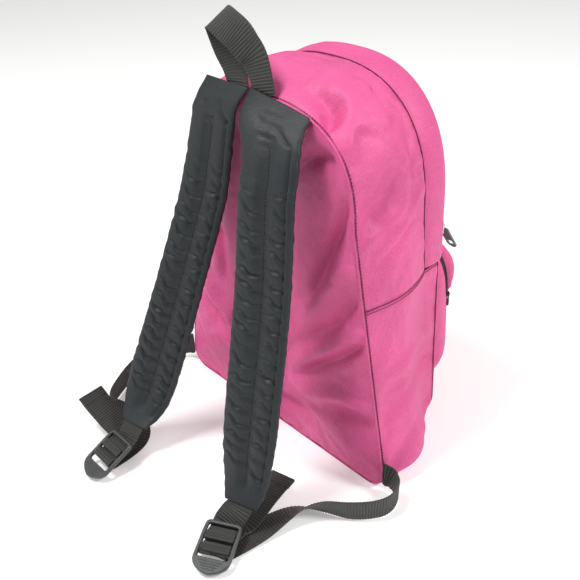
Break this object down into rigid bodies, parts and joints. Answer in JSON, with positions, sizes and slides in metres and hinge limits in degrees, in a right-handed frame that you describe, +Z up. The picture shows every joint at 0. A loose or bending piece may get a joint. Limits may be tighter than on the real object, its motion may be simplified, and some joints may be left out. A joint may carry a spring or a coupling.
{
  "type": "daypack",
  "caption": "Soft zipped daypack with an arched front, a bellows front pocket, padded shoulder straps on ladder locks and a webbing grab loop.",
  "frame": {"origin": "on the floor under the middle of the bounding box", "axes": "+Z up, +Y from the back panel towards the front pocket, +X to the right of someone who looks at the back panel"},
  "size_m": [0.3782, 0.3928, 0.4626],
  "materials": {
    "magenta_nylon": "satin",
    "black_pad_cloth": "satin",
    "black_webbing": "matte",
    "zip_black": "matte",
    "lock_plastic": "satin",
    "slider_metal": "satin",
    "pull_green_grey": "satin"
  },
  "bodies": {
    "bag": {"back_panel": "magenta_nylon", "hood_gusset": "magenta_nylon", "base_gusset": "magenta_nylon", "storm_flap": "magenta_nylon", "main_zip": "zip_black", "front_panel": "magenta_nylon", "pocket_gusset": "magenta_nylon", "pocket_zip": "zip_black", "pocket_hood": "magenta_nylon", "pocket_front": "magenta_nylon", "main_slider": "slider_metal", "pocket_slider": "slider_metal", "right_strap_pad": "black_pad_cloth", "left_strap_pad": "black_pad_cloth", "right_ladder_lock": "lock_plastic", "left_ladder_lock": "lock_plastic", "right_pad_webbing": "black_webbing", "left_pad_webbing": "black_webbing", "right_adjuster_webbing": "black_webbing", "left_adjuster_webbing": "black_webbing", "grab_loop": "black_webbing"},
    "main_pull": {"main_pull": "pull_green_grey"},
    "pocket_pull": {"pocket_pull": "zip_black"}
  },
  "joints": [
    {"name": "main_pull_hinge", "type": "hinge", "parent": "bag", "child": "main_pull", "pos_m": [0.11539, 0.1466, 0.2465], "axis": [1, 0, 0], "range_deg": [-26, 120]},
    {"name": "pocket_pull_hinge", "type": "hinge", "parent": "bag", "child": "pocket_pull", "pos_m": [0.10445, 0.18224, 0.14195], "axis": [0.4344, -0.8423, -0.3192], "range_deg": [0, 120]}
  ]
}
